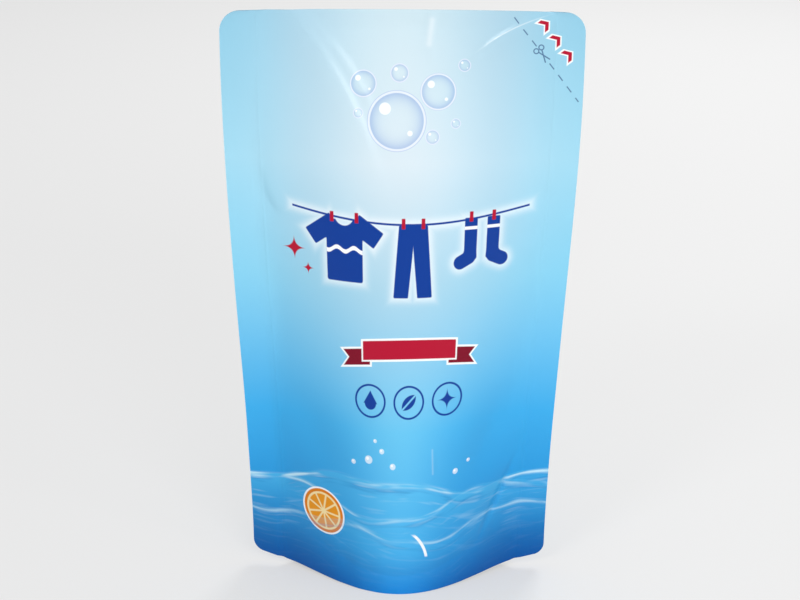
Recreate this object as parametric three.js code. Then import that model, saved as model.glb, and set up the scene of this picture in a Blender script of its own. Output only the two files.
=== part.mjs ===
// A filled stand-up pouch for laundry detergent: a front panel, a back panel and a folded bottom gusset of
// laminated film, welded down both sides, across the top and along two arched bottom seals into one pack.
// Millimetres, +Z up. The front faces -Y, and the origin is on the table under the middle of the pouch.

import * as THREE from "three";
import { ParametricGeometry } from "three/addons/geometries/ParametricGeometry.js";
import { mergeGeometries, mergeVertices } from "three/addons/utils/BufferGeometryUtils.js";

// Driving dimensions of the empty pouch
const WIDTH = 140; // over both side seals, lying flat
const HEIGHT = 232; // bottom edge to top edge
const FILM = 0.15; // thickness of the laminate, so a weld of two films is twice this
const SIDE_SEAL = 10; // width of each side seal
const TOP_SEAL = 6; // height of the top seal
const TOP_CORNER = 8; // radius of the top corners
const BOTTOM_CORNER = 5; // radius of the bottom corners
const GUSSET = 42; // how far up the side seals the folded gusset reaches
const BASE_SEAL = 8; // height of the arched bottom seals at their middle

// Driving dimensions of the filled pouch
const BASE_DEPTH = 57; // front to back over the opened bottom edges
const BELLY = 3; // how far the body stands out over the arched bottom seals
const BELLY_RISE = 9; // height over the seal in which the belly comes out
const BELLY_FADE = 70; // height over the gusset in which it dies away
const CORNER_LIFT = 4; // how far the bottom corners stand off the table
const LEFT_EAR_BEND = 4.5; // how far the bottom corner of the left side seal is bent back
const RIGHT_EAR_BEND = 2; // the same on the right
const EAR_FADE = 30; // height in which the lift and the bends die away
const FLOOR_LENGTH = 44; // flat part of the gusset that the pouch stands on, side to side
const FLOOR_DEPTH = 26; // the same, front to back
const SEAL_WAVE = 0.8; // how far the side seals wave forward and back
const SEAL_WAVE_LENGTH = 120; // height of one such wave
const TOP_BOW = 3.5; // how far the middle of the top edge bows back behind its ends

// Pressed-in and standing folds of the film. A fold follows a curve on the panel, from one point by way of a
// bend to another: `across` is millimetres from the centre line and `up` is millimetres from `level`.
const FRONT_FOLDS = [
  // The funnel under the top edge, where the flat seal opens into the round body
  { level: HEIGHT, across: [-50, -27, -14], up: [4, -2, -52], height: 2.2, reach: 5 },
  { level: HEIGHT, across: [60, 42, 25], up: [1, -5, -24], height: 2, reach: 4 },
  // The hollows where the lower corners are drawn in over the gusset
  { level: GUSSET, across: [50, 42, 33], up: [42, 20, 2], height: -3, reach: 8 },
  { level: GUSSET, across: [55, 48, 40], up: [4, -6, -22], height: -2.4, reach: 5 },
  { level: GUSSET, across: [-46, -39, -30], up: [40, 22, 4], height: -2, reach: 8 },
  { level: GUSSET, across: [-55, -48, -40], up: [4, -6, -20], height: -1.4, reach: 6 },
];
const BACK_FOLDS = [
  { level: HEIGHT, across: [-56, -32, -18], up: [0, -6, -44], height: 1.6, reach: 6 },
  { level: HEIGHT, across: [56, 32, 18], up: [0, -6, -44], height: 1.6, reach: 6 },
  { level: GUSSET, across: [-54, -47, -38], up: [3, -7, -20], height: -1.6, reach: 6 },
  { level: GUSSET, across: [54, 47, 38], up: [3, -7, -20], height: -1.6, reach: 6 },
];

// How finely the curved film is divided
const BODY_COLUMNS = 33; // across the body between the side seals, odd so that no seam runs down the middle
const CORNER_ROWS = 4; // in a rounded corner
const FOOT_ROWS = 12; // from the bottom corners to the top of the gusset
const BODY_ROWS = 28; // from the gusset to the top seal
const SKIRT_ROWS = 4; // up the inner face of a bottom seal
const FLOOR_ROWS = 13; // across the gusset from one bottom seal to the other
const FOLD_POINTS = 24; // along a fold
const LEAST_ROW = 0.3; // rows closer than this are one row
const WELD_TOLERANCE = 0.002;

const FILL_POWER = 2; // how the depth falls from the base to the top: 1 is a wedge, more is fuller
const TOP_CLOSING = 1.2; // how softly the panels meet in the top seal: 1 is an edge, more is softer
const SECTION_POWER = 1.5; // how softly they meet in the side seals
const COLUMN_CROWDING = 0.55; // 0 spaces the body's columns evenly, 1 crowds them to the side seals

const FRONT = -1;
const BACK = 1;
const bodyHalf = WIDTH / 2 - SIDE_SEAL;
const bodyTop = HEIGHT - TOP_SEAL;
const { clamp, lerp, smoothstep } = THREE.MathUtils;

// Half the depth on the centre line: deepest at the open base, nothing at the top seal.
function swell(t) {
  return (BASE_DEPTH / 2 - FILM) * (1 - Math.min(t / bodyTop, 1) ** FILL_POWER) ** TOP_CLOSING;
}

// Half the distance between the side seals. The film doesn't stretch, so a deeper arc spans less.
function halfSpan(t) {
  return Math.sqrt(bodyHalf ** 2 - (4 / 3) * swell(t) ** 2);
}

// Height of an arched bottom seal: BASE_SEAL on the centre line, GUSSET where it meets the side seals.
function sealArch(share) {
  return BASE_SEAL + (GUSSET - BASE_SEAL) * (1 - Math.sqrt(1 - Math.min(share ** 2, 1)));
}

// How far a rounded corner of that radius cuts in from the side, `over` millimetres past where it starts.
function cornerCut(radius, over) {
  return radius - Math.sqrt(radius ** 2 - clamp(over, 0, radius) ** 2);
}

// How far the corners draw a station in: fully at the cut edge, dying away a radius inside the side seal.
function cornerInset(station, t) {
  const overBody = Math.abs(station) - bodyHalf;
  const share = (radius) => clamp((overBody + radius) / (SIDE_SEAL + radius), 0, 1);
  const top = share(TOP_CORNER) * cornerCut(TOP_CORNER, t - HEIGHT + TOP_CORNER);
  const bottom = share(BOTTOM_CORNER) * cornerCut(BOTTOM_CORNER, BOTTOM_CORNER - t);
  return top + bottom;
}

// A fold's curve in the panel's own plane, once for each fold.
function foldLine({ level, across, up, height, reach }) {
  const [from, bend, to] = across.map((x, i) => new THREE.Vector2(x, level + up[i]));
  const points = new THREE.QuadraticBezierCurve(from, bend, to).getPoints(FOLD_POINTS);
  return { points, height, reach };
}

const folds = {
  [FRONT]: FRONT_FOLDS.map(foldLine),
  [BACK]: BACK_FOLDS.map(foldLine),
};

// How loose a panel is between the side seals: not at all along them, fully on the centre line.
function looseAcross(station) {
  return 1 - Math.min((station / bodyHalf) ** 2, 1);
}

// How free a panel is of the other one: not at all in the top seal, fully where they are well apart.
function freeOfSeal(t) {
  return Math.min(swell(t) / BELLY, 1);
}

// How far the folds lift a panel: each is a bell across its line that dies away at the line's two ends.
function foldHeight(side, station, t) {
  const here = new THREE.Vector2(station, t);
  let total = 0;
  for (const { points, height, reach } of folds[side]) {
    const distances = points.map((point) => point.distanceTo(here));
    const nearest = Math.min(...distances);
    const along = distances.indexOf(nearest) / FOLD_POINTS;
    total += height * Math.sin(Math.PI * along) * Math.exp(-((nearest / reach) ** 2));
  }
  return total * looseAcross(station);
}

// Depth of a panel over the middle plane: a round section that runs softly into the side seals, a belly that
// comes out just over the arched seal and dies away upwards, and the folds.
function fullness(side, station, t) {
  const share = clamp(station / bodyHalf, -1, 1);
  const section = (1 - share ** 2) ** SECTION_POWER;
  const overSeal = Math.max(t - sealArch(share), 0);
  const overGusset = Math.max(t - GUSSET, 0);
  const belly = BELLY * (1 - Math.exp(-overSeal / BELLY_RISE)) * Math.exp(-((overGusset / BELLY_FADE) ** 2));
  return swell(t) * section + freeOfSeal(t) * (belly * section + foldHeight(side, station, t));
}

// How much of the bottom corners' lift and bend is left at height t.
function earShare(t) {
  return Math.exp(-((t / EAR_FADE) ** 2));
}

// The middle plane between the two panels: the side seals wave a little above the gusset, their bottom corners
// are bent back, and the top seal bows back and takes on the folds that run into it from the front.
function middle(station, t) {
  const overBody = Math.abs(station) - bodyHalf;
  const wave = Math.sin((2 * Math.PI * t) / SEAL_WAVE_LENGTH + Math.sign(station));
  const waveShare = smoothstep(overBody, -SIDE_SEAL, 0) * smoothstep(t, GUSSET, 2 * GUSSET);
  const earBend = station < 0 ? LEFT_EAR_BEND : RIGHT_EAR_BEND;
  const bend = (earBend * Math.max(overBody - cornerInset(station, t), 0)) / SIDE_SEAL;
  const bow = (1 - ((2 * station) / WIDTH) ** 2) * smoothstep(t, HEIGHT / 2, HEIGHT);
  const sealFolds = foldHeight(FRONT, station, t) * (1 - freeOfSeal(t));
  return SEAL_WAVE * wave * waveShare + bend * earShare(t) + TOP_BOW * bow - sealFolds;
}

// A point at a station across the pouch and a height t, `depth` in front of or behind the middle plane.
function place(side, station, t, depth, target) {
  const inBody = clamp(station, -bodyHalf, bodyHalf);
  const spread = (inBody / bodyHalf) * halfSpan(t) + station - inBody;
  const x = spread - Math.sign(station) * cornerInset(station, t);
  const lift = CORNER_LIFT * ((2 * station) / WIDTH) ** 2 * earShare(t);
  return target.set(x, middle(station, t) + side * depth, t + lift);
}

// The outside of the front or back panel.
function outside(side, station, t, target) {
  return place(side, station, t, FILM + fullness(side, station, t), target);
}

// The inner face of a bottom seal, two films behind the outside.
function insideSkirt(side, station, t, target) {
  return place(side, station, t, fullness(side, station, t) - FILM, target);
}

// The gusset film from the back seal (across = 1) to the front seal (across = -1): flat on the table in the
// middle, rising to both arched seals, and folded up along its own middle towards the side seals.
function gussetFloor(station, across, target) {
  const share = station / bodyHalf;
  const arch = sealArch(share);
  const front = insideSkirt(FRONT, station, arch, new THREE.Vector3());
  const back = insideSkirt(BACK, station, arch, target);
  const y = lerp(front.y, back.y, (across + 1) / 2);
  const foldRise = smoothstep(Math.abs(back.x), FLOOR_LENGTH / 2, halfSpan(arch));
  const flatShare = FLOOR_DEPTH / BASE_DEPTH;
  const sealRise = Math.max(Math.abs(across) - flatShare, 0) / (1 - flatShare);
  return target.set(back.x, y, back.z * lerp(foldRise, 1, sealRise ** 2));
}

// Stations across one panel, left edge to right edge: two on each side seal and the body's columns between.
function stationsAcross() {
  const inner = [];
  for (let i = 1; i < BODY_COLUMNS; i++) {
    const even = (2 * i) / BODY_COLUMNS - 1;
    inner.push(bodyHalf * lerp(even, Math.sin((Math.PI / 2) * even), COLUMN_CROWDING));
  }
  return [-WIDTH / 2, -bodyHalf, ...inner, bodyHalf, WIDTH / 2];
}

// Heights up the pouch: by equal angles in the rounded corners, evenly up the foot and the body.
function heightsUp() {
  const all = [];
  for (let i = 0; i <= CORNER_ROWS; i++) {
    const angle = (Math.PI / 2) * (i / CORNER_ROWS);
    all.push(BOTTOM_CORNER * (1 - Math.cos(angle)), HEIGHT - TOP_CORNER * (1 - Math.sin(angle)));
  }
  for (let i = 1; i <= FOOT_ROWS; i++) all.push(lerp(BOTTOM_CORNER, GUSSET, i / FOOT_ROWS));
  for (let i = 1; i <= BODY_ROWS; i++) all.push(lerp(GUSSET, bodyTop, i / BODY_ROWS));
  all.sort((a, b) => a - b);
  return all.filter((t, i) => i === 0 || t === HEIGHT || t - all[i - 1] > LEAST_ROW);
}

const stations = stationsAcross();
const heights = heightsUp();

// One sheet of film: a grid of points, `columns` by `rows`, each put in place by its numbers in the grid.
function sheet(columns, rows, point) {
  const surface = (u, v, target) => point(Math.round(u * columns), Math.round(v * rows), target);
  return new ParametricGeometry(surface, columns, rows);
}

// Front and back panels in one ring, closed by the cut edges of the side seals.
function panels() {
  const ring = [
    ...stations.map((station) => ({ side: FRONT, station })),
    ...stations.toReversed().map((station) => ({ side: BACK, station })),
  ];
  return sheet(ring.length, heights.length - 1, (column, row, target) => {
    const { side, station } = ring[column % ring.length];
    return outside(side, station, heights[row], target);
  });
}

// The cut edge of the top seal.
function topEdge() {
  return sheet(stations.length - 1, 1, (column, row, target) =>
    outside(row === 0 ? FRONT : BACK, stations[column], HEIGHT, target)
  );
}

// The underside, from the back panel's bottom edge up the inside of its seal, over the gusset and down to the
// front. Past the body the two panels are welded together, so the inner rows close up into the weld.
function underside() {
  const lastRow = 2 * SKIRT_ROWS + FLOOR_ROWS + 2;
  return sheet(stations.length - 1, lastRow, (column, row, target) => {
    const station = stations[column];
    const fromFront = lastRow - row;
    const onCutEdge = Math.abs(station) === WIDTH / 2;
    if (fromFront === 0) return outside(FRONT, station, 0, target);
    if (row === 0 || onCutEdge) return outside(BACK, station, 0, target);
    if (Math.abs(station) >= bodyHalf) return place(BACK, station, 0, 0, target);
    const arch = sealArch(station / bodyHalf);
    const skirt = (side, step) => insideSkirt(side, station, (arch * (step - 1)) / SKIRT_ROWS, target);
    if (row <= SKIRT_ROWS) return skirt(BACK, row);
    if (fromFront <= SKIRT_ROWS) return skirt(FRONT, fromFront);
    const across = 1 - (2 * (row - SKIRT_ROWS - 1)) / FLOOR_ROWS;
    return gussetFloor(station, across, target);
  });
}

// Joins sheets along their shared edges into one closed skin, without the triangles that closed up to a line.
function sew(sheets) {
  for (const each of sheets) {
    each.deleteAttribute("normal");
    each.deleteAttribute("uv");
  }
  const skin = mergeVertices(mergeGeometries(sheets), WELD_TOLERANCE);
  const corners = skin.index.array;
  const kept = [];
  for (let i = 0; i < corners.length; i += 3) {
    const [a, b, c] = corners.slice(i, i + 3);
    if (a !== b && b !== c && c !== a) kept.push(a, b, c);
  }
  skin.setIndex(kept);
  skin.computeVertexNormals();
  return skin;
}

function pouch() {
  const film = new THREE.MeshStandardMaterial({ color: 0x7cc4ea, roughness: 0.28, metalness: 0 });
  const mesh = new THREE.Mesh(sew([panels(), topEdge(), underside()]), film);
  mesh.name = "pouch";
  return mesh;
}

const part = new THREE.Group();
part.add(pouch());

export default part;
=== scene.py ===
import math

import bpy
import numpy as np
from mathutils import Matrix, Vector


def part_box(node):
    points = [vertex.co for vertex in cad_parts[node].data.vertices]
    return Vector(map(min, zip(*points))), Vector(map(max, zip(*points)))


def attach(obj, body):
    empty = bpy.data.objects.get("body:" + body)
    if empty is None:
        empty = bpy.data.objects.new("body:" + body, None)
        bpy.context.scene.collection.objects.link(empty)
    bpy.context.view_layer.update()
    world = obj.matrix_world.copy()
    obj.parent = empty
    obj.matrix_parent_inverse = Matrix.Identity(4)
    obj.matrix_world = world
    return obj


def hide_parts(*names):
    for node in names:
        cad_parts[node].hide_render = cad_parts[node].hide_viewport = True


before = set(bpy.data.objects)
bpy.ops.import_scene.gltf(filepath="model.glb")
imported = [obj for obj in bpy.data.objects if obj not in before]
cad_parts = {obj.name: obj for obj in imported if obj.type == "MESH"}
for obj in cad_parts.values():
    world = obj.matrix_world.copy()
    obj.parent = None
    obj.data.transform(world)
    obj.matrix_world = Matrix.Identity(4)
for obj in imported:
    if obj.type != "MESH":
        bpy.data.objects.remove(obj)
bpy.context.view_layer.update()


# Camera
# It stands an arm's length in front of the pouch, looks a little down on it and is half a degree askew.
# The focal length is in pixels of the 800 by 600 picture.
PICTURE_WIDTH = 800
FOCAL_PIXELS = 2133
VIEW_DISTANCE = 0.850
VIEW_POINT = Vector((-0.0002, 0, 0.1157))
LOOK_DOWN = math.radians(18.9)
ASKEW = math.radians(0.45)

camera_lens = bpy.data.cameras.new("camera")
camera_lens.sensor_width = 36
camera_lens.lens = FOCAL_PIXELS * camera_lens.sensor_width / PICTURE_WIDTH
camera = bpy.data.objects.new("camera", camera_lens)
towards_camera = Vector((0, -math.cos(LOOK_DOWN), math.sin(LOOK_DOWN)))
camera.matrix_world = (
    Matrix.Translation(VIEW_POINT + VIEW_DISTANCE * towards_camera)
    @ Matrix.Rotation(math.pi / 2 - LOOK_DOWN, 4, "X")
    @ Matrix.Rotation(ASKEW, 4, "Z")
)
bpy.context.collection.objects.link(camera)
bpy.context.scene.camera = camera


# Film of the pouch
# A front panel, a back panel and a folded bottom gusset of glossy printed laminate, heat-welded down both
# sides, across the top and along two arched bottom seals. Filled, it stands on the flat middle of its gusset.
# Its sizes are in millimetres. A place on a panel is a station across it, from the centre line, and a height
# up it, from the bottom edge.
METRE = 1000
low_corner, high_corner = (np.array(corner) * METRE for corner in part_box("pouch"))
WIDTH, _, HEIGHT = (high_corner - low_corner).tolist()
FILM = 0.15
SIDE_SEAL = 10
TOP_SEAL = 6
TOP_CORNER = 8
BOTTOM_CORNER = 5
GUSSET = 42
BASE_SEAL = 8
BASE_DEPTH = 57
FILL_POWER = 2
TOP_CLOSING = 1.2
SECTION_EASE = 0.25
BELLY = 3
BELLY_RISE = 9
BELLY_FADE = 70
CORNER_LIFT = 4
LEFT_EAR_BEND = 4.5
RIGHT_EAR_BEND = 2
EAR_FADE = 30
FLOOR_LENGTH = 44
FLOOR_DEPTH = 26
SEAL_WAVE = 0.8
SEAL_WAVE_LENGTH = 120
TOP_BOW = 3.5
BODY_HALF = WIDTH / 2 - SIDE_SEAL
BODY_TOP = HEIGHT - TOP_SEAL
FRONT, BACK = -1, 1


def ease(value, start, end):
    """0 before start, 1 after end, and the smooth cubic 3x^2 - 2x^3 between them."""
    x = np.clip((value - start) / (end - start), 0, 1)
    return x * x * (3 - 2 * x)


def swell(height):
    """Half the depth on the centre line: the base's times (1 - height share ^ FILL_POWER) ^ TOP_CLOSING."""
    return (BASE_DEPTH / 2 - FILM) * (1 - np.minimum(height / BODY_TOP, 1) ** FILL_POWER) ** TOP_CLOSING


def half_span(height):
    """Half the distance between the side seals: an arc of fixed length spans less where it is deeper. For a
    shallow arc, length^2 = span^2 + 4/3 depth^2."""
    return np.sqrt(BODY_HALF**2 - 4 / 3 * swell(height) ** 2)


def seal_arch(station):
    """Height of an arched bottom seal: a quarter ellipse, BASE_SEAL in the middle and GUSSET at the sides."""
    share = np.minimum(np.abs(station) / BODY_HALF, 1)
    return BASE_SEAL + (GUSSET - BASE_SEAL) * (1 - np.sqrt(1 - share**2))


def corner_cut(radius, over):
    """How far a round corner cuts in from the side: a circle's, from where the corner starts."""
    return radius - np.sqrt(radius**2 - np.clip(over, 0, radius) ** 2)


def corner_inset(station, height):
    """How far the corners draw a station in: fully at the cut edge, and not at all inside the side seal."""
    over_body = np.abs(station) - BODY_HALF
    top_share = np.clip((over_body + TOP_CORNER) / (SIDE_SEAL + TOP_CORNER), 0, 1)
    bottom_share = np.clip((over_body + BOTTOM_CORNER) / (SIDE_SEAL + BOTTOM_CORNER), 0, 1)
    top = top_share * corner_cut(TOP_CORNER, height - HEIGHT + TOP_CORNER)
    return top + bottom_share * corner_cut(BOTTOM_CORNER, BOTTOM_CORNER - height)


# Folds that the filling left in the film. Each follows a curve on its panel, from one place by way of a bend
# to another. It stands up by its height, or is pressed in, and reaches so far to the left and to the right of
# the way that its curve runs.
FOLD_PIECES = 24
FRONT_FOLDS = (
    ((-72, HEIGHT + 24), (-23, HEIGHT - 10), (-6, HEIGHT - 75), 1.4, 3, 9),
    ((-66, HEIGHT + 21), (-17, HEIGHT - 13), (-7, HEIGHT - 54), 0.6, 2.6, 4),
    ((80, HEIGHT + 7), (38, HEIGHT - 3), (23, HEIGHT - 25), 1.7, 6, 1.8),
    ((11, HEIGHT + 6), (11, HEIGHT - 4), (11, HEIGHT - 24), 0.4, 1.8, 1.8),
    ((-56, 170), (-58, 158), (-49, 150), -1.8, 1.8, 5),
    ((50, GUSSET + 42), (42, GUSSET + 20), (33, GUSSET + 2), -2.4, 8, 8),
    ((55, GUSSET + 4), (48, GUSSET - 6), (40, GUSSET - 22), -1.8, 5, 5),
    ((56, GUSSET + 10), (48, GUSSET - 9), (38, GUSSET - 26), -2.2, 1.2, 1.2),
    ((-46, GUSSET + 40), (-39, GUSSET + 22), (-30, GUSSET + 4), -1.6, 8, 8),
    ((-55, GUSSET + 4), (-48, GUSSET - 6), (-40, GUSSET - 20), -1, 6, 6),
    ((15, GUSSET + 22), (15, GUSSET + 15), (15.5, GUSSET + 8), 0.4, 1.2, 1.2),
)
BACK_FOLDS = (
    ((-56, HEIGHT), (-32, HEIGHT - 6), (-18, HEIGHT - 44), 1.6, 3, 6),
    ((56, HEIGHT), (32, HEIGHT - 6), (18, HEIGHT - 44), 1.6, 6, 3),
    ((-54, GUSSET + 3), (-47, GUSSET - 7), (-38, GUSSET - 20), -1.6, 5, 5),
    ((54, GUSSET + 3), (47, GUSSET - 7), (38, GUSSET - 20), -1.6, 5, 5),
)


def loose_across(station):
    """How loose a panel is between the side seals: a parabola, nothing along them."""
    return 1 - np.minimum(np.abs(station) / BODY_HALF, 1) ** 2


def free_of_seal(height):
    """How free a panel is of the other one: not at all in the top seal, fully where they are well apart."""
    return np.minimum(swell(height) / BELLY, 1)


def fold_height(side, station, height):
    """Sum of a panel's folds: each is exp(-(distance / reach)^2) across its line and half a sine along it.
    They are weaker beside the side seals, by the root of how loose the panel is."""
    total = np.zeros_like(station)
    share = np.linspace(0, 1, FOLD_PIECES + 1)[:, None]
    for start, bend, end, rise, left_reach, right_reach in FRONT_FOLDS if side == FRONT else BACK_FOLDS:
        start, bend, end = np.array((start, bend, end))
        line = (1 - share) ** 2 * start + 2 * share * (1 - share) * bend + share**2 * end
        nearest = np.full_like(station, np.inf)
        along = np.zeros_like(station)
        reach = np.full_like(station, left_reach)
        for i, (tail, head) in enumerate(zip(line[:-1], line[1:])):
            run, climb = head - tail
            x, y = station - tail[0], height - tail[1]
            part = np.clip((x * run + y * climb) / (run**2 + climb**2), 0, 1)
            distance = np.hypot(x - part * run, y - part * climb)
            closer = distance < nearest
            nearest = np.where(closer, distance, nearest)
            along = np.where(closer, (i + part) / FOLD_PIECES, along)
            reach = np.where(closer, np.where(run * y > climb * x, left_reach, right_reach), reach)
        total += rise * np.sin(np.pi * along) * np.exp(-((nearest / reach) ** 2))
    return total * np.sqrt(loose_across(station))


# Puckers: how high they stand, how far they reach from the weld, and the lengths that their waves take for a
# radian. Groups of them come and go along the weld.
SEAL_PUCKER = 0.25
SEAL_PUCKER_REACH = 9
SEAL_GATHER = 2.1
SEAL_WIDE_GATHER = 3.4
SEAL_GROUP = 17
ARCH_PUCKER = 0.25
ARCH_PUCKER_REACH = 8
ARCH_GATHER = 1.9
ARCH_GROUP = 9


def puckers(side, station, height):
    """Small gathers where the slack film meets a weld: waves along it that die away as exp(-distance). They
    start at other angles on the left than on the right, and on the back than on the front."""
    turn = side * np.sign(station)
    waves = np.sin(height / SEAL_GATHER + 2 * turn) + 0.8 * np.sin(height / SEAL_WIDE_GATHER + 5 * turn)
    waves = waves * (0.5 + 0.5 * np.sin(height / SEAL_GROUP + turn))
    beside = SEAL_PUCKER * waves * np.exp((np.abs(station) - BODY_HALF) / SEAL_PUCKER_REACH)
    over_arch = height - seal_arch(station)
    ripples = np.sin(station / ARCH_GATHER + side) * (0.5 + 0.5 * np.sin(station / ARCH_GROUP + 2 * side))
    above = ARCH_PUCKER * ripples * np.exp(-np.abs(over_arch) / ARCH_PUCKER_REACH)
    return (beside + above) * np.sqrt(loose_across(station))


def fullness(side, station, height):
    """Depth of a panel over the middle plane. The section across is a parabola to the power 1.5, eased to the
    power 2 beside the seals, where it runs softly into them. The belly comes out over the arched seal as
    1 - exp(-x) and dies away upwards as a bell. Folds and puckers lie on that."""
    loose = loose_across(station)
    section = loose**2 * np.sqrt((1 + SECTION_EASE) / (loose + SECTION_EASE))
    over_seal = np.maximum(height - seal_arch(station), 0)
    over_gusset = np.maximum(height - GUSSET, 0)
    belly = BELLY * (1 - np.exp(-over_seal / BELLY_RISE)) * np.exp(-((over_gusset / BELLY_FADE) ** 2))
    relief = belly * section + fold_height(side, station, height) + puckers(side, station, height)
    return swell(height) * section + free_of_seal(height) * relief


def ear_share(height):
    """How much of the bottom corners' lift and bend is left: a bell that starts at the bottom edge."""
    return np.exp(-((height / EAR_FADE) ** 2))


def middle(station, height):
    """The plane between the panels. The side seals wave as a sine above the gusset, their bottom corners are
    bent back, and the top seal bows back as a parabola and takes on the front's folds."""
    over_body = np.abs(station) - BODY_HALF
    wave = np.sin(2 * np.pi * height / SEAL_WAVE_LENGTH + np.sign(station))
    wave = wave * ease(over_body, -SIDE_SEAL, 0) * ease(height, GUSSET, 2 * GUSSET)
    ear_bend = np.where(station < 0, LEFT_EAR_BEND, RIGHT_EAR_BEND)
    bend = ear_bend * np.maximum(over_body - corner_inset(station, height), 0) / SIDE_SEAL
    bow = (1 - (2 * station / WIDTH) ** 2) * ease(height, HEIGHT / 2, HEIGHT)
    seal_folds = fold_height(FRONT, station, height) * (1 - free_of_seal(height))
    return SEAL_WAVE * wave + bend * ear_share(height) + TOP_BOW * bow - seal_folds


def place(side, station, height, depth):
    """Points at those stations and heights, `depth` in front of or behind the middle plane."""
    in_body = np.clip(station, -BODY_HALF, BODY_HALF)
    spread = in_body / BODY_HALF * half_span(height) + station - in_body
    x = spread - np.sign(station) * corner_inset(station, height)
    lift = CORNER_LIFT * (2 * station / WIDTH) ** 2 * ear_share(height)
    return np.stack([x, middle(station, height) + side * depth, height + lift], axis=-1)


def outside(side, station, height):
    """The outer face of a panel."""
    return place(side, station, height, FILM + fullness(side, station, height))


def inside_skirt(side, station, height):
    """The inner face of a bottom seal, two films behind the outer face."""
    return place(side, station, height, np.maximum(fullness(side, station, height) - FILM, 0))


def gusset_floor(station, across):
    """The gusset film between the back seal (across = 1) and the front seal (across = -1): flat on the table
    in the middle, rising by a square to both seals, and folded up along its middle towards the side seals."""
    arch = seal_arch(station)
    front = inside_skirt(FRONT, station, arch)
    back = inside_skirt(BACK, station, arch)
    x, _, top = np.moveaxis(back, -1, 0)
    y = front[..., 1] + (back[..., 1] - front[..., 1]) * (across + 1) / 2
    fold_rise = ease(np.abs(x), FLOOR_LENGTH / 2, half_span(arch))
    flat_share = FLOOR_DEPTH / BASE_DEPTH
    seal_rise = (np.maximum(np.abs(across) - flat_share, 0) / (1 - flat_share)) ** 2
    return np.stack([x, y, top * (fold_rise + (1 - fold_rise) * seal_rise)], axis=-1)


# The grid of the film. Stations crowd towards the side seals. The lowest rows crowd towards the bottom edge
# and follow the arched seal, and the rows over them settle to level ones.
SEAL_COLUMNS = 8
BODY_COLUMNS = 151
CROWDING = 0.3
SKIRT_ROWS = 32
SKIRT_CROWDING = 1.5
SETTLE_ROWS = 62
SETTLE_HEIGHT = 100
LEVEL_ROWS = 112
CORNER_ROWS = 10
INNER_ROWS = 12
FLOOR_ROWS = 41

even = np.linspace(-1, 1, BODY_COLUMNS + 1)
body_stations = BODY_HALF * ((1 - CROWDING) * even + CROWDING * np.sin(np.pi / 2 * even))
seal_stations = np.linspace(BODY_HALF, WIDTH / 2, SEAL_COLUMNS + 1)[1:]
stations = np.concatenate([-seal_stations[::-1], body_stations, seal_stations])
columns = len(stations)

arch_row = seal_arch(stations)[None, :]
skirt_share = np.linspace(0, 1, SKIRT_ROWS + 1)[:, None] ** SKIRT_CROWDING
settle_share = np.linspace(0, 1, SETTLE_ROWS + 1)[1:, None]
corner_start = HEIGHT - TOP_CORNER
level_rows = np.linspace(SETTLE_HEIGHT, corner_start, LEVEL_ROWS + 1)[1:, None]
corner_rows = corner_start + TOP_CORNER * np.sin(np.linspace(0, np.pi / 2, CORNER_ROWS + 1))[1:, None]
heights = np.concatenate([
    arch_row * skirt_share,
    arch_row + (SETTLE_HEIGHT - arch_row) * settle_share,
    np.repeat(level_rows, columns, axis=1),
    np.repeat(corner_rows, columns, axis=1),
])
rows = len(heights)
station_grid = np.broadcast_to(stations, heights.shape)
front_points = outside(FRONT, station_grid, heights)
back_points = outside(BACK, station_grid, heights)

# Both panels in one ring of columns, front left to right and back right to left.
ring_numbers = np.arange(rows * 2 * columns).reshape(rows, 2 * columns)
front_numbers = ring_numbers[:, :columns]
back_numbers = ring_numbers[:, : columns - 1 : -1]


def quads(numbers):
    """Four-cornered faces of a grid of vertex numbers, each going along its row, up and back."""
    corners = numbers[:-1, :-1], numbers[:-1, 1:], numbers[1:, 1:], numbers[1:, :-1]
    return np.stack(corners, axis=-1).reshape(-1, 4)


panel_faces = quads(np.concatenate([ring_numbers, ring_numbers[:, :1]], axis=1))
top_faces = quads(np.stack([front_numbers[-1], back_numbers[-1]]))

# The underside runs from the back panel's bottom edge up the inside of its seal, over the gusset and down to
# the front. Past the body the panels are welded together, so its rows close up in the weld.
inner_stations = body_stations[1:-1]
inner_arch = seal_arch(inner_stations)[None, :]
skirt_up = inner_arch * np.linspace(0, 1, INNER_ROWS + 1)[:-1, None]
skirt_stations = np.broadcast_to(inner_stations, skirt_up.shape)
floor_stations = np.broadcast_to(inner_stations, (FLOOR_ROWS + 1, len(inner_stations)))
floor_across = np.linspace(1, -1, FLOOR_ROWS + 1)[:, None]
under_points = np.concatenate([
    inside_skirt(BACK, skirt_stations, skirt_up),
    gusset_floor(floor_stations, floor_across),
    inside_skirt(FRONT, skirt_stations, skirt_up[::-1]),
])
weld_stations = np.concatenate([stations[1 : SEAL_COLUMNS + 1], stations[-SEAL_COLUMNS - 1 : -1]])
weld_points = place(FRONT, weld_stations, np.zeros_like(weld_stations), 0)

under_rows = len(under_points)
under_numbers = ring_numbers.size + np.arange(under_rows * len(inner_stations)).reshape(under_rows, -1)
weld_numbers = ring_numbers.size + under_numbers.size + np.arange(len(weld_stations))
inner_numbers = np.concatenate([
    np.full((under_rows, 1), back_numbers[0, 0]),
    np.tile(weld_numbers[:SEAL_COLUMNS], (under_rows, 1)),
    under_numbers,
    np.tile(weld_numbers[SEAL_COLUMNS:], (under_rows, 1)),
    np.full((under_rows, 1), back_numbers[0, -1]),
], axis=1)
under_grid = quads(np.concatenate([back_numbers[:1], inner_numbers, front_numbers[:1]]))
under_faces = np.concatenate([under_grid[:, [0, 1, 3]], under_grid[:, [1, 2, 3]]])
closed_up = (under_faces == np.roll(under_faces, 1, axis=1)).any(axis=1)
under_faces = under_faces[~closed_up]

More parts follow.
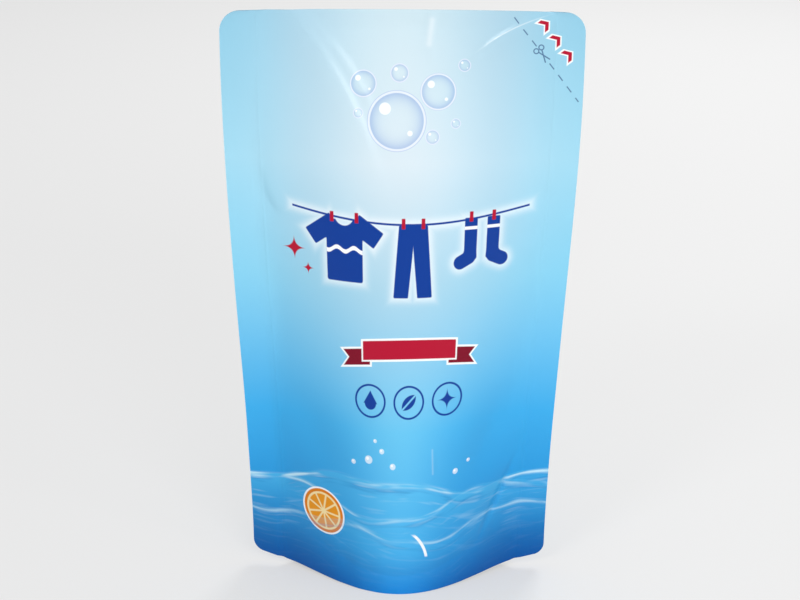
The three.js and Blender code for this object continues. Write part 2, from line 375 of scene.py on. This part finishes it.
ring_points = np.concatenate([front_points, back_points[:, ::-1]], axis=1)
points = np.concatenate([ring_points.reshape(-1, 3), under_points.reshape(-1, 3), weld_points]) / METRE
film_mesh = bpy.data.meshes.new("pouch_film")
film_mesh.from_pydata(points.tolist(), [], panel_faces.tolist() + top_faces.tolist() + under_faces.tolist())

# Where each point lies on its flat panel, for the print: station, height, and which film it is on.
ON_FRONT, ON_BACK, ON_GUSSET = 0, 1, 2
flat_stations = station_grid - np.sign(station_grid) * corner_inset(station_grid, heights)
front_flat = np.stack([flat_stations, heights, np.full_like(heights, ON_FRONT)], axis=-1)
back_flat = np.stack([-flat_stations, heights, np.full_like(heights, ON_BACK)], axis=-1)
ring_flat = np.concatenate([front_flat, back_flat[:, ::-1]], axis=1)
under_flat = np.concatenate([under_points.reshape(-1, 3), weld_points]) * (1, 1, 0) + (0, 0, ON_GUSSET)
flat_places = np.concatenate([ring_flat.reshape(-1, 3), under_flat])
flat_attribute = film_mesh.attributes.new("flat", "FLOAT_VECTOR", "POINT")
flat_attribute.data.foreach_set("vector", flat_places.astype(np.float32).ravel())

# The film is smooth, and only its cut edges are sharp.
CUT_EDGE_ANGLE = math.radians(50)
film_mesh.polygons.foreach_set("use_smooth", np.ones(len(film_mesh.polygons), bool))
film_mesh.set_sharp_from_angle(angle=CUT_EDGE_ANGLE)
pouch = bpy.data.objects.new("pouch_film", film_mesh)
bpy.context.collection.objects.link(pouch)
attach(pouch, "root")
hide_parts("pouch")


# The film's material: inks under a clear gloss layer. What is printed is worked out in millimetres on the
# flat panel, from the distance to each shape's edge.
class Field:
    """A number, place or colour that changes over a surface: an output socket of its material's nodes.
    Arithmetic on numbers adds Math nodes."""

    def __init__(self, socket):
        self.socket = socket

    def node(self, kind, settings, inputs, output=0):
        """An output of a new node, with its settings made first and then its sockets' values and links."""
        tree = self.socket.id_data
        made = tree.nodes.new("ShaderNode" + kind)
        for name, value in settings.items():
            if name == "stops":
                stops = made.color_ramp.elements
                first, *between, last = value
                stops[0].position, stops[0].color = first
                stops[1].position, stops[1].color = last
                for position, colour in between:
                    stops.new(position).color = colour
            else:
                setattr(made, name, value)
        for socket, value in inputs.items():
            if isinstance(value, Field):
                tree.links.new(value.socket, made.inputs[socket])
            else:
                made.inputs[socket].default_value = value
        return Field(made.outputs[output])

    def math(self, operation, *others):
        """What a Math node makes of this number and others."""
        return self.node("Math", {"operation": operation}, dict(enumerate((self, *others))))

    def __add__(self, other):
        return self.math("ADD", other)

    __radd__ = __add__

    def __sub__(self, other):
        return self.math("SUBTRACT", other)

    def __rsub__(self, other):
        return self.node("Math", {"operation": "SUBTRACT"}, {0: other, 1: self})

    def __mul__(self, other):
        return self.math("MULTIPLY", other)

    __rmul__ = __mul__

    def __truediv__(self, other):
        return self.math("DIVIDE", other)

    def __neg__(self):
        return self * -1

    def __abs__(self):
        return self.math("ABSOLUTE")

    def __pow__(self, power):
        return self.math("POWER", power)


def ink(red, green, blue):
    """A colour of 0 to 255 levels as the linear one that a shader takes, by the sRGB curve."""
    levels = np.array((red, green, blue)) / 255
    linear = np.where(levels < 0.04045, levels / 12.92, ((levels + 0.055) / 1.055) ** 2.4)
    return (*linear.tolist(), 1)


PRINT_EDGE = 0.3


def inside(edge):
    """1 inside a printed shape and 0 outside it, over PRINT_EDGE, from the distance to its edge."""
    settings = {"operation": "MULTIPLY_ADD", "use_clamp": True}
    return edge.node("Math", settings, {0: edge, 1: -1 / PRINT_EDGE, 2: 0.5})


def bell(offset, reach):
    """exp(-(offset / reach)^2)."""
    return (-((offset / reach) ** 2)).math("EXPONENT")


def eased(value, start, end):
    """0 before start, 1 after end, and a smooth cubic between them. It falls where end is the smaller one."""
    settings = {"interpolation_type": "SMOOTHSTEP"}
    return value.node("MapRange", settings, {0: value, 1: start, 2: end})


def over(under, colour, amount):
    """A colour laid over another by an amount from 0 to 1. A Mix node's colours are its sockets 6 and 7 and
    its output 2."""
    return amount.node("Mix", {"data_type": "RGBA"}, {0: amount, 6: under, 7: colour}, 2)


def joined(first, second, rounding=0):
    """Distance to two shapes taken together: the smaller one, rounded where they meet."""
    return first.math("SMOOTH_MIN", second, rounding)


def common(first, second, rounding=0):
    """Distance to what two shapes have in common: the larger one, rounded where they meet."""
    return first.math("SMOOTH_MAX", second, rounding)


film = bpy.data.materials.new("printed_film")
film.use_nodes = True
shader = film.node_tree.nodes["Principled BSDF"]
flat = Field(shader.outputs[0]).node("Attribute", {"attribute_name": "flat"}, {}, "Vector")
spot = flat.node("VectorMath", {"operation": "MULTIPLY"}, {0: flat, 1: (1, 1, 0)})
station, height, panel = (flat.node("SeparateXYZ", {}, {0: flat}, axis) for axis in range(3))


def disc(centre, radius):
    """Distance to a disc's edge."""
    return flat.node("VectorMath", {"operation": "DISTANCE"}, {0: spot, 1: (*centre, 0)}, "Value") - radius


def along(start, direction):
    """How far a place lies from `start` in a direction."""
    offset = flat.node("VectorMath", {"operation": "SUBTRACT"}, {0: spot, 1: (*start, 0)})
    return flat.node("VectorMath", {"operation": "DOT_PRODUCT"}, {0: offset, 1: (*direction, 0)}, "Value")


def stroke(x, y, start, end, half_width):
    """Distance to the edge of a pen stroke with round ends, from the nearest point of its middle line."""
    run, rise = end[0] - start[0], end[1] - start[1]
    x, y = x - start[0], y - start[1]
    settings = {"operation": "DIVIDE", "use_clamp": True}
    share = x.node("Math", settings, {0: x * run + y * rise, 1: run**2 + rise**2})
    return ((x - share * run) ** 2 + (y - share * rise) ** 2) ** 0.5 - half_width


# Ground: blue that pales upwards and towards the middle, where the glow widens with the height. Higher up,
# painted shade greys the flanks between the middle and the sides. The bottom corners are deepest, partly by
# the print's own deeper blue and partly by painted shade.
EDGE_BLUES = (
    (0.00, ink(0, 86, 168)),
    (0.08, ink(24, 138, 210)),
    (0.30, ink(64, 175, 235)),
    (0.55, ink(135, 210, 240)),
    (0.75, ink(160, 217, 239)),
    (1.00, ink(142, 200, 225)),
)
MIDDLE_BLUES = (
    (0.00, ink(16, 132, 216)),
    (0.08, ink(70, 175, 236)),
    (0.30, ink(105, 197, 239)),
    (0.55, ink(174, 212, 230)),
    (0.75, ink(216, 230, 238)),
    (1.00, ink(204, 226, 235)),
)
GLOW_REACH = 20
GLOW_WIDENING = 20
GLOW_HEIGHTS = 60, 115
FLANK_SHADE_GREY = ink(180, 195, 210)
FLANK_SHADE_AMOUNT = 0.18
GREY_STATION = 38
GREY_REACH = 14
GREY_HEIGHTS = 110, 150
CORNER_BLUE_AND_SHADE = ink(0, 66, 144)
DEEP_AMOUNT = 0.4
DEEP_STATIONS = 25, 55
DEEP_HEIGHTS = 40, 8
share_up = height / HEIGHT
edge_blue = flat.node("ValToRGB", {"stops": EDGE_BLUES}, {0: share_up})
middle_blue = flat.node("ValToRGB", {"stops": MIDDLE_BLUES}, {0: share_up})
glow_reach = GLOW_REACH + GLOW_WIDENING * eased(height, *GLOW_HEIGHTS)
colour = over(edge_blue, middle_blue, bell(station, glow_reach))
# Painted shade: the flanks between the middle and the sides greyed, where the curved film turns away from the
# light.
flank_shade = bell(abs(station) - GREY_STATION, GREY_REACH) * eased(height, *GREY_HEIGHTS)
colour = over(colour, FLANK_SHADE_GREY, FLANK_SHADE_AMOUNT * flank_shade)
# The bottom corners deepened: partly the print's own deeper blue and partly painted shade where the film
# turns away from the light.
corners = eased(abs(station), *DEEP_STATIONS) * eased(height, *DEEP_HEIGHTS)
colour = over(colour, CORNER_BLUE_AND_SHADE, DEEP_AMOUNT * corners)

# Waves along the bottom. Each is a tint that dies away below its crest, with a line of foam along the crest,
# a darker band under that and a few streaks. Foam and streaks come in between two values of a noise.
WATER = ink(96, 200, 240)
WATER_SHARE = 0.6
FOAM = ink(214, 243, 252)
FOAM_WIDTH = 0.9
FOAM_SHARE = 1.5
FOAM_NOISE = 0.38, 0.66
TROUGH = ink(26, 118, 192)
TROUGH_DEPTH = 4 * FOAM_WIDTH
TROUGH_WIDTH = 1.6 * FOAM_WIDTH
STREAK_LENGTH = 16
STREAK_WIDTH = 2
STREAK_CHANGE = 9
STREAK_SHARE = 0.6
STREAK_NOISE = 0.56, 0.75
NEAR_STRENGTH = 0.25
NEAR_FADE = 8


def crest_line(level, roller, ripple):
    """Height of a wave's crest: a level and two sines, each with its height, its length for a radian and the
    angle that it starts at."""
    line = level
    for rise, length, start in (roller, ripple):
        line = line + rise * (station / length + start).math("SINE")
    return line


def wave(under, crest, strength, fade):
    """A swell: a tint by exp(-depth / fade) below the crest, bells of foam at the crest and of shade under
    it, and streaks where a stretched noise is high."""
    depth = crest - height
    below = inside(-depth)
    paling = (depth.math("MAXIMUM", 0) / -fade).math("EXPONENT")
    across = {0: station / STREAK_LENGTH, 1: depth / STREAK_WIDTH, 2: crest / STREAK_CHANGE}
    noise = flat.node("TexNoise", {}, {0: flat.node("CombineXYZ", {}, across), "Scale": 1, "Detail": 1})
    water = over(under, WATER, below * paling * (strength * WATER_SHARE))
    streaks = eased(noise, *STREAK_NOISE) * below * paling * (strength * STREAK_SHARE)
    broken = eased(noise, *FOAM_NOISE)
    foam = bell(depth - FOAM_WIDTH, FOAM_WIDTH) * broken * (strength * FOAM_SHARE)
    shade = bell(depth - TROUGH_DEPTH, TROUGH_WIDTH) * broken * strength
    return over(over(over(water, TROUGH, shade), FOAM, streaks), FOAM, foam)


far_crest = crest_line(45, (5, 19, 2.2), (1.2, 7.3, 0))
middle_crest = crest_line(37, (4, 15, -1.1), (0.9, 5.7, 2))
near_crest = crest_line(26, (3, 12, 3.5), (0.7, 4.7, 0))
colour = wave(colour, far_crest, strength=0.5, fade=12)
open_water = wave(colour, middle_crest, strength=0.35, fade=9)
ground = wave(open_water, near_crest, NEAR_STRENGTH, NEAR_FADE)

# A slice of citrus that floats behind the nearest wave: a white margin, peel, pith and segments.
WHITE = ink(250, 253, 255)
PEEL_ORANGE = ink(222, 124, 14)
PITH_CREAM = ink(250, 226, 168)
FLESH_ORANGE = ink(234, 150, 24)
CITRUS = (-36, 30)
CITRUS_RADIUS = 9.5
CITRUS_MARGIN = 0.7
PEEL = 1.3
PITH = 0.9
CITRUS_CORE = 1
SEGMENTS = 9
SEGMENT_SKIN = 0.4
SEGMENT_ROUNDING = 0.5
x, y = station - CITRUS[0], height - CITRUS[1]
out = disc(CITRUS, 0)
turn = (y.math("ARCTAN2", x) * (SEGMENTS / math.tau)).math("FRACT")
to_skin = (0.5 - abs(turn - 0.5)) * out * (math.tau / SEGMENTS)
flesh = common(out - (CITRUS_RADIUS - PEEL - PITH), CITRUS_CORE - out)
segment = common(flesh, SEGMENT_SKIN - to_skin, SEGMENT_ROUNDING)
colour = over(open_water, WHITE, inside(out - (CITRUS_RADIUS + CITRUS_MARGIN)))
colour = over(colour, PEEL_ORANGE, inside(out - CITRUS_RADIUS))
colour = over(colour, PITH_CREAM, inside(out - (CITRUS_RADIUS - PEEL)))
colour = over(colour, FLESH_ORANGE, inside(segment))
colour = wave(colour, near_crest, NEAR_STRENGTH, NEAR_FADE)

# Soap bubbles at the top, and drops thrown up by the waves. Each is given by its centre and radius, and their
# rims and glints are shares of the radius.
BUBBLE_BLUE = ink(40, 116, 206)
BUBBLE_DEPTH = 0.6
RIM_WHITENESS = 0.7
GLINT_WHITENESS = 0.85
DROP_WHITENESS = 0.6


def bubble(under, centre, radius):
    """A soap bubble: blue as the fourth power of the distance from its middle, a white rim and two glints."""
    edge = disc(centre, radius)
    body = inside(edge) * ((edge + radius) / radius) ** 4 * BUBBLE_DEPTH
    rim = inside(abs(edge + 0.05 * radius) - (0.03 * radius + 0.1)) * RIM_WHITENESS
    big_glint = inside(disc((centre[0] - 0.4 * radius, centre[1] + 0.4 * radius), 0.2 * radius))
    small_glint = inside(disc((centre[0] + 0.45 * radius, centre[1] - 0.4 * radius), 0.09 * radius))
    glints = big_glint.math("MAXIMUM", small_glint) * GLINT_WHITENESS
    return over(over(over(under, BUBBLE_BLUE, body), WHITE, rim), WHITE, glints)


BUBBLES = (
    ((-2, 190), 11.5),
    ((14, 201), 7),
    ((-15, 204), 5.2),
    ((-1, 208), 3.6),
    ((12, 184), 2.8),
    ((21, 189), 1.9),
    ((-17, 193), 1.9),
    ((24, 211), 2.4),
)
DROPS = (
    ((-14, 58), 1.7),
    ((-8, 62), 1.1),
    ((-21, 56), 1.0),
    ((-3, 56), 1.3),
    ((-11, 66), 0.8),
    ((26, 51), 1.2),
    ((32, 54), 0.8),
)
for centre, radius in BUBBLES:
    colour = bubble(colour, centre, radius)
for centre, radius in DROPS:
    colour = over(colour, WHITE, inside(disc(centre, radius)) * DROP_WHITENESS)
    glint = disc((centre[0] - 0.3 * radius, centre[1] + 0.3 * radius), 0.4 * radius)
    colour = over(colour, WHITE, inside(glint))

# A washing line with a shirt, trousers and a pair of socks on it, held by pegs, in a pale halo. Garments and
# pegs are drawn from their place on the line, x across and y up.
NAVY = ink(18, 62, 150)
RED = ink(182, 22, 52)
LINE_MIDDLE = 4
LINE_HALF = 48
LINE_LOW = 151
LINE_SAG = 5
ROPE_HALF = 0.4
PEG_UP = 0.4
PEG_HALF = 0.75
PEG_HALF_LENGTH = 2
PEG_ROUNDING = 0.5
HALO_REACH = 2
HALO_WHITENESS = 0.5
SHIRT_STATION = -23
SHIRT_HALF = 7.4
TROUSERS_STATION = 5
SOCKS_STATION = 33
SOCK_OUT = 4.6
SOCK_HALF = 2.6
STRIPE_DOWN = 12
STRIPE_HALF = 0.8
STRIPE_WAVE = 0.8
STRIPE_TURNING = 0.9
CUFF_DOWN = 4
CUFF_HALF = 0.6


def line_height(across):
    """The sagging line: a parabola."""
    return LINE_LOW + LINE_SAG * ((across - LINE_MIDDLE) / LINE_HALF) ** 2


def pegs(x, y, spacing):
    """Distance to a pair of pegs, one on either side."""
    return common(abs(abs(x) - spacing) - PEG_HALF, abs(y - PEG_UP) - PEG_HALF_LENGTH, PEG_ROUNDING)


def shirt(x, y):
    """Distance to a short-sleeved shirt: a body, two slanting sleeves and a round neck cut out."""
    side = abs(x)
    body = common(side - SHIRT_HALF, abs(y + 12.5) - 12, 1.5)
    out, up = side - 9, y + 4.6
    sleeve = common(abs(out * 0.82 - up * 0.57) - 6, abs(out * 0.57 + up * 0.82) - 3.6, 1)
    neck = (x**2 + (y - 1) ** 2) ** 0.5 - 3.8
    return common(joined(body, sleeve, 1), -neck)


def trousers(x, y):
    """Distance to trousers: sides that spread downwards, with a wedge cut out between the legs."""
    side = abs(x)
    legs = common(side + y * 0.08 - 5.8, abs(y + 14) - 14, 1)
    return common(legs, -(side + (y + 9) * 0.1), 0.6)


def socks(x, y):
    """Distance to a pair of socks, toes outwards: an upright leg and a foot that is a fat stroke."""
    side = abs(x)
    leg = common(abs(side - SOCK_OUT) - SOCK_HALF, abs(y + 8) - 8, 0.8)
    return joined(leg, stroke(side, y, (5, -15.5), (8.6, -17.2), 2.7), 1.5)


GARMENTS = ((shirt, SHIRT_STATION, 5), (trousers, TROUSERS_STATION, 4), (socks, SOCKS_STATION, SOCK_OUT))
rope = common(abs(height - line_height(station)) - ROPE_HALF, abs(station - LINE_MIDDLE) - LINE_HALF)
washing, peg = rope, None
for garment, across, spacing in GARMENTS:
    x, y = station - across, height - line_height(across)
    washing = joined(washing, garment(x, y))
    pair = pegs(x, y, spacing)
    peg = joined(peg, pair) if peg else pair
colour = over(colour, WHITE, bell(washing.math("MAXIMUM", 0), HALO_REACH) * HALO_WHITENESS)
colour = over(colour, NAVY, inside(washing))
colour = over(colour, RED, inside(peg))

# A wavy stripe across the shirt, and cuffs on the socks.
x, y = station - SHIRT_STATION, height - line_height(SHIRT_STATION)
stripe = abs(y + STRIPE_DOWN - STRIPE_WAVE * (station * STRIPE_TURNING).math("SINE")) - STRIPE_HALF
colour = over(colour, WHITE, inside(common(stripe, abs(x) - SHIRT_HALF)))
x, y = station - SOCKS_STATION, height - line_height(SOCKS_STATION)
cuff = common(abs(y + CUFF_DOWN) - CUFF_HALF, abs(abs(x) - SOCK_OUT) - SOCK_HALF)
colour = over(colour, WHITE, inside(cuff))

# A plain red ribbon, arched as a parabola, with notched tails that hang behind it.
DARK_RED = ink(128, 14, 40)
RIBBON = (4, 103)
RIBBON_HALF = 20
RIBBON_WIDTH = 7.5
RIBBON_ARCH = 0.0032
RIBBON_ROUNDING = 0.5
RIBBON_MARGIN = 0.6
TAIL_DOWN = 2.4
TAIL_HALF = 3.2
TAIL_OUT = 6
TAIL_TUCK = 3
TAIL_NOTCH = 0.8
TAIL_MARGIN = 0.8
x = station - RIBBON[0]
y = height - RIBBON[1] + RIBBON_ARCH * x**2
side = abs(x)
front_ribbon = common(side - RIBBON_HALF, abs(y) - RIBBON_WIDTH / 2, RIBBON_ROUNDING)
tail_y = abs(y + TAIL_DOWN)
tail_end = side - (RIBBON_HALF + TAIL_OUT) - TAIL_NOTCH * tail_y
tails = common(common(tail_end, RIBBON_HALF - TAIL_TUCK - side), tail_y - TAIL_HALF)
colour = over(colour, WHITE, inside(joined(front_ribbon, tails) - TAIL_MARGIN))
colour = over(colour, DARK_RED, inside(tails))
colour = over(colour, WHITE, inside(front_ribbon - RIBBON_MARGIN))
colour = over(colour, RED, inside(front_ribbon))

# Three round signs: a drop, a leaf and a sparkle, each drawn from its middle, x across and y up.
SIGN_HEIGHT = 82
SIGN_RADIUS = 6.4
SIGN_LINE_HALF = 0.4
SIGN_SPARKLE = 4.6


def sparkle(x, y, size=SIGN_SPARKLE):
    """Distance to a four-pointed star: the roots of both offsets add up to the root of its size."""
    return abs(x) ** 0.5 + abs(y) ** 0.5 - size**0.5


def drop(x, y):
    """Distance to a falling drop: a disc under a wedge."""
    ball = (x**2 + (y + 1) ** 2) ** 0.5 - 2.5
    wedge = common(abs(x) * 0.87 + (y - 4.2) * 0.5, -1 - y)
    return joined(ball, wedge, 0.4)


def leaf(x, y):
    """Distance to a leaf: what two discs have in common, less its middle rib."""
    first = ((x - 2.1) ** 2 + (y + 2.1) ** 2) ** 0.5 - 5.2
    second = ((x + 2.1) ** 2 + (y - 2.1) ** 2) ** 0.5 - 5.2
    return common(common(first, second), 0.35 - abs(x - y) * 0.7)


SIGNS = ((drop, -13), (leaf, 4), (sparkle, 21))
sign_edge = None
for sign, across in SIGNS:
    ring = abs(disc((across, SIGN_HEIGHT), SIGN_RADIUS)) - SIGN_LINE_HALF
    picture = joined(ring, sign(station - across, height - SIGN_HEIGHT))
    sign_edge = joined(sign_edge, picture) if sign_edge else picture
colour = over(colour, NAVY, inside(sign_edge))

# Two red sparkles beside the washing line: station, height and size.
SPARKLES = ((-44, 139, 5), (-38.5, 131.5, 2.6))
for across, up, size in SPARKLES:
    colour = over(colour, RED, inside(sparkle(station - across, height - up, size)))

# The cut line at the top right corner, with scissors in place of one dash and arrows to the corner. x runs
# along the line and y from it to the corner.
CUT_BLUE = ink(70, 104, 146)
CUT_START = np.array((41.8, HEIGHT - 1.4))
CUT_END = np.array((68.3, HEIGHT - 34.7))
CUT_LENGTH = np.hypot(*(CUT_END - CUT_START))
CUT_DIRECTION = (CUT_END - CUT_START) / CUT_LENGTH
CUT_LINE_HALF = 0.2
DASH_STEP = 5.6
SCISSORS = 3.5 * DASH_STEP
HANDLES = SCISSORS - 2.7
HANDLE_OUT = 1.2
HANDLE_RADIUS = 0.95
HANDLE_LINE_HALF = 0.2
BLADE_START = (SCISSORS - 1.9, 0.8)
BLADE_END = (SCISSORS + 2.8, -1)
BLADE_HALF = 0.22
ARROWS = 3
ARROW_STEP = 7.4
ARROWS_START = 7
ARROW_OUT = 8.5
ARROW_SLOPE = 0.8
ARROW_LINE_HALF = 0.9
ARROW_HALF = 2.4
ARROW_ROUNDING = 0.3
ARROW_MARGIN = 0.6
x = along(CUT_START.tolist(), CUT_DIRECTION.tolist())
y = along(CUT_START.tolist(), (-CUT_DIRECTION[1], CUT_DIRECTION[0]))
dash = abs((x / DASH_STEP).math("FRACT") - 0.5) * DASH_STEP - DASH_STEP / 4
dashes = common(common(dash, abs(y) - CUT_LINE_HALF), abs(x - CUT_LENGTH / 2) - CUT_LENGTH / 2)
dashes = common(dashes, DASH_STEP / 2 - abs(x - SCISSORS))
from_handle = ((x - HANDLES) ** 2 + (abs(y) - HANDLE_OUT) ** 2) ** 0.5
handles = abs(from_handle - HANDLE_RADIUS) - HANDLE_LINE_HALF
blade, other_blade = (stroke(x, way, BLADE_START, BLADE_END, BLADE_HALF) for way in (y, -y))
blades = joined(blade, other_blade)
colour = over(colour, CUT_BLUE, inside(joined(dashes, joined(handles, blades))))
arrow_x = ((x - ARROWS_START) / ARROW_STEP).math("FRACT") * ARROW_STEP - ARROW_STEP / 2
arrow_y = y - ARROW_OUT + abs(arrow_x) * ARROW_SLOPE
arrows = common(abs(arrow_y) - ARROW_LINE_HALF, abs(arrow_x) - ARROW_HALF, ARROW_ROUNDING)
half_row = ARROWS * ARROW_STEP / 2
arrows = common(arrows, abs(x - (ARROWS_START + half_row)) - (half_row - ARROW_MARGIN))
colour = over(colour, WHITE, inside(arrows - ARROW_MARGIN))
colour = over(colour, RED, inside(arrows))

# Painted highlights: white glints laid into the print where the folds catch the light. Streaks along two
# small
# upright folds: both ends, reach and amount. A fine arc along the fold at the top right, of a circle's line
# that fades at both ends. A short curve near the bottom, which is what one disc has beyond another.
GLINT_STREAKS = (
    ((11.3, HEIGHT - 4), (10.2, HEIGHT - 13), 1.2, 0.3),
    ((15, GUSSET + 20), (15.5, GUSSET + 10), 0.4, 0.16),
)
ARC_CENTRE = (76, HEIGHT - 72)
ARC_RADIUS = 73.5
ARC_HALF = 0.2
ARC_LOWEST = HEIGHT - 30
ARC_FADE_IN = 26, 40
ARC_FADE_OUT = 60, 42
ARC_AMOUNT = 0.45
CURVE_CENTRE, CURVE_RADIUS = (-3.4, 13.6), 17.4
CURVE_CUT_CENTRE, CURVE_CUT_RADIUS = (-4.6, 13), 17.5
CURVE_TOP = 27.5, 26
CURVE_BOTTOM = 16, 17
# Painted highlights on the folds: the streaks, the arc and the curve, in white.
for start, end, reach, amount in GLINT_STREAKS:
    colour = over(colour, WHITE, bell(stroke(station, height, start, end, 0), reach) * amount)
arc = common(abs(disc(ARC_CENTRE, ARC_RADIUS)) - ARC_HALF, ARC_LOWEST - height)
arc_fade = eased(station, *ARC_FADE_IN) * eased(station, *ARC_FADE_OUT)
colour = over(colour, WHITE, inside(arc) * arc_fade * ARC_AMOUNT)
curve = common(disc(CURVE_CENTRE, CURVE_RADIUS), -disc(CURVE_CUT_CENTRE, CURVE_CUT_RADIUS))
colour = over(colour, WHITE, inside(curve) * eased(height, *CURVE_TOP) * eased(height, *CURVE_BOTTOM))

# The back has the same ground and waves, with a blank pale label in a thin frame. The gusset is plain.
LABEL_PALE = ink(236, 246, 251)
LABEL_AMOUNT = 0.85
LABEL_HALF = 42
LABEL_MIDDLE = 138
LABEL_HALF_HEIGHT = 58
LABEL_ROUNDING = 5
FRAME_INSET = 1.5
FRAME_LINE_HALF = 0.3
GUSSET_BLUE = ink(30, 106, 184)
label = common(abs(station) - LABEL_HALF, abs(height - LABEL_MIDDLE) - LABEL_HALF_HEIGHT, LABEL_ROUNDING)
back_colour = over(ground, LABEL_PALE, inside(label) * LABEL_AMOUNT)
back_colour = over(back_colour, NAVY, inside(abs(label + FRAME_INSET) - FRAME_LINE_HALF))
colour = over(back_colour, colour, panel.math("LESS_THAN", (ON_FRONT + ON_BACK) / 2))
colour = over(colour, GUSSET_BLUE, panel.math("GREATER_THAN", (ON_BACK + ON_GUSSET) / 2))
film.node_tree.links.new(colour.socket, shader.inputs["Base Color"])

# Finish: a clear layer whose gloss varies a little, over film that isn't quite flat. Both follow two slow,
# slanting waves multiplied, with these lengths for a radian across and up. The side welds end in fine lines.
ROUGHNESS = 0.14
ROUGHNESS_CHANGE = 0.02
SPECULAR = 0.13
SLOW_RELIEF = 0.04
FIRST_ACROSS, FIRST_UP = 13, 37
SECOND_ACROSS, SECOND_UP = 41, 19
WELD_LINES = (-56, 59)
WELD_STEP = 0.07
WELD_LINE_REACH = 0.6
first_wave = (station / FIRST_ACROSS + height / FIRST_UP).math("SINE")
second_wave = (height / SECOND_UP - station / SECOND_ACROSS).math("SINE")
slow = first_wave * second_wave
film.node_tree.links.new((ROUGHNESS + ROUGHNESS_CHANGE * slow).socket, shader.inputs["Roughness"])
relief = SLOW_RELIEF * slow
for across in WELD_LINES:
    relief = relief + WELD_STEP * bell(station - across, WELD_LINE_REACH)
bump = flat.node("Bump", {}, {"Strength": 1, "Distance": 1 / METRE, "Height": relief}, "Normal")
film.node_tree.links.new(bump.socket, shader.inputs["Normal"])
shader.inputs["Specular IOR Level"].default_value = SPECULAR
film_mesh.materials.append(film)


# Floor
# A plain pale table top that runs back out of sight. To the eye, in a mirror or through glass it is paler
# than the light makes it, so that the background is pale and the pouch gets no more light.
FLOOR_HALF = 3
FLOOR_GREY = 0.62
FLOOR_ROUGHNESS = 0.6
FLOOR_PALENESS = 0.5
floor_mesh = bpy.data.meshes.new("floor")
floor_corners = [(-FLOOR_HALF, -FLOOR_HALF, 0), (FLOOR_HALF, -FLOOR_HALF, 0)]
floor_corners += [(FLOOR_HALF, FLOOR_HALF, 0), (-FLOOR_HALF, FLOOR_HALF, 0)]
floor_mesh.from_pydata(floor_corners, [], [(0, 1, 2, 3)])
floor = bpy.data.objects.new("floor", floor_mesh)
bpy.context.collection.objects.link(floor)
table_top = bpy.data.materials.new("table_top")
table_top.use_nodes = True
paint = table_top.node_tree.nodes["Principled BSDF"]
paint.inputs["Base Color"].default_value = (FLOOR_GREY, FLOOR_GREY, FLOOR_GREY, 1)
paint.inputs["Roughness"].default_value = FLOOR_ROUGHNESS
rays = Field(paint.outputs[0]).node("LightPath", {}, {}, "Is Camera Ray")
mirrored = rays.node("LightPath", {}, {}, "Is Glossy Ray")
through = rays.node("LightPath", {}, {}, "Is Transmission Ray")
pale = rays.node("Emission", {}, {"Color": (1, 1, 1, 1), "Strength": 1})
seen = rays.math("MAXIMUM", mirrored).math("MAXIMUM", through) * FLOOR_PALENESS
table_top_shader = rays.node("MixShader", {}, {0: seen, 1: Field(paint.outputs[0]), 2: pale})
table_top_end = table_top.node_tree.nodes["Material Output"].inputs["Surface"]
table_top.node_tree.links.new(table_top_shader.socket, table_top_end)
floor_mesh.materials.append(table_top)


# Studio light
# Four soft lamps, on the right, on the left, far to the right and behind, in an even pale surround. Each is
# given by its place, width, height and watts.
LAMPS = {
    "right": ((0.42, -1.28, 0.74), 0.6, 0.28, 7),
    "left": ((-0.68, -1.05, 1.0), 0.4, 0.22, 4.2),
    "far_right": ((1.1, -0.8, 0.4), 0.3, 0.3, 2),
    "back": ((0.4, 1.2, 0.9), 0.5, 0.5, 8),
}
POUCH_MIDDLE = Vector((0, 0, 0.12))
SURROUND_STRENGTH = 0.575
for name, (lamp_place, lamp_width, lamp_height, watts) in LAMPS.items():
    light = bpy.data.lights.new(name, "AREA")
    light.shape = "RECTANGLE"
    light.size = lamp_width
    light.size_y = lamp_height
    light.energy = watts
    lamp = bpy.data.objects.new(name, light)
    lamp.location = lamp_place
    lamp.rotation_euler = (POUCH_MIDDLE - Vector(lamp_place)).to_track_quat("-Z", "Y").to_euler()
    bpy.context.collection.objects.link(lamp)
surround = bpy.data.worlds.new("surround")
surround.use_nodes = True
background = surround.node_tree.nodes["Background"]
background.inputs["Color"].default_value = (1, 1, 1, 1)
background.inputs["Strength"].default_value = SURROUND_STRENGTH
bpy.context.scene.world = surround
bpy.context.scene.view_settings.view_transform = "Standard"
